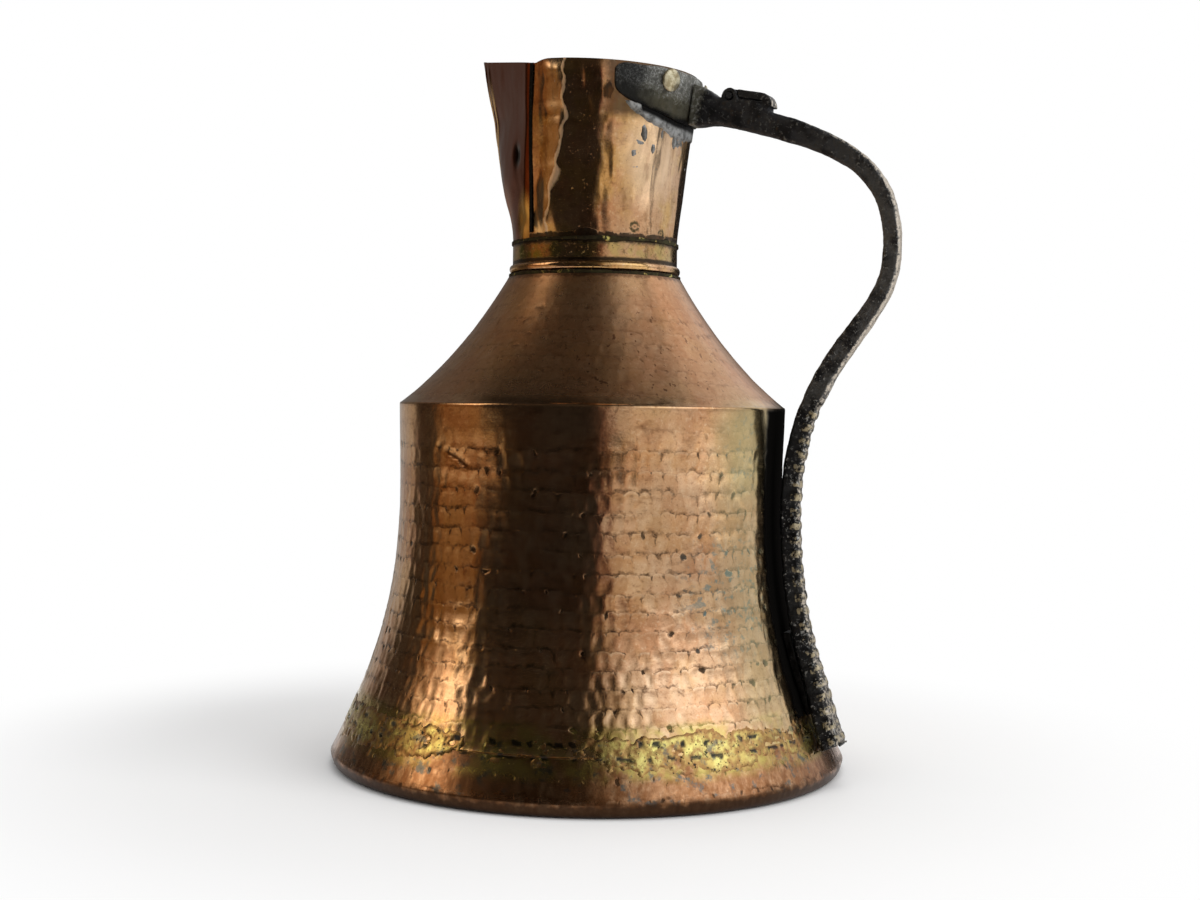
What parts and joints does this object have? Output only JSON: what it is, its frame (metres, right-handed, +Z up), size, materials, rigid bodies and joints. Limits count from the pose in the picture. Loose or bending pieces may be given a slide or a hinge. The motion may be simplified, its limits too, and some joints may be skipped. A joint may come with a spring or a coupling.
{
  "type": "copper pouring jug",
  "caption": "Bell-shaped hammered copper pouring jug with a flared neck, a folded spout, an S-curved forged iron handle on a riveted neck strap, and the leaf of a lost lid.",
  "frame": {"origin": "middle of the flat base, on the surface that the jug stands on", "axes": "+Z up along the jug's axis, +X towards the handle, -X towards the spout"},
  "size_m": [0.2313, 0.208, 0.289],
  "materials": {
    "copper": "hammered sheet copper, rubbed bright and browned with age",
    "braze": "rough yellow brazing brass",
    "forged_iron": "dark forged iron, worn pale on its outer face",
    "tinned_iron": "forged iron with patchy grey tinning",
    "solder": "dull grey soft solder",
    "rivet_brass": "pale rubbed brass"
  },
  "bodies": {
    "jug": {"base_pan": "copper", "base_seam_braze": "braze", "body_shell": "copper", "collar_braze_lower": "braze", "neck_collar": "copper", "collar_braze_upper": "braze", "neck_sheet": "copper", "spout_sheet": "copper", "spout_seam_solder_near": "solder", "spout_seam_solder_far": "solder", "neck_strap": "tinned_iron", "strap_rivet_near": "rivet_brass", "strap_rivet_far": "rivet_brass", "strap_solder": "solder", "handle_bar": "forged_iron", "handle_foot_solder": "solder", "lid_hinge_pin": "forged_iron"},
    "lid_leaf": {"lid_hinge_leaf": "forged_iron"}
  },
  "joints": [
    {"name": "lid_hinge", "type": "hinge", "parent": "jug", "child": "lid_leaf", "pos_m": [0.05831, 0, 0.26773], "axis": [0, -1, 0], "range_deg": [0, 130]}
  ]
}
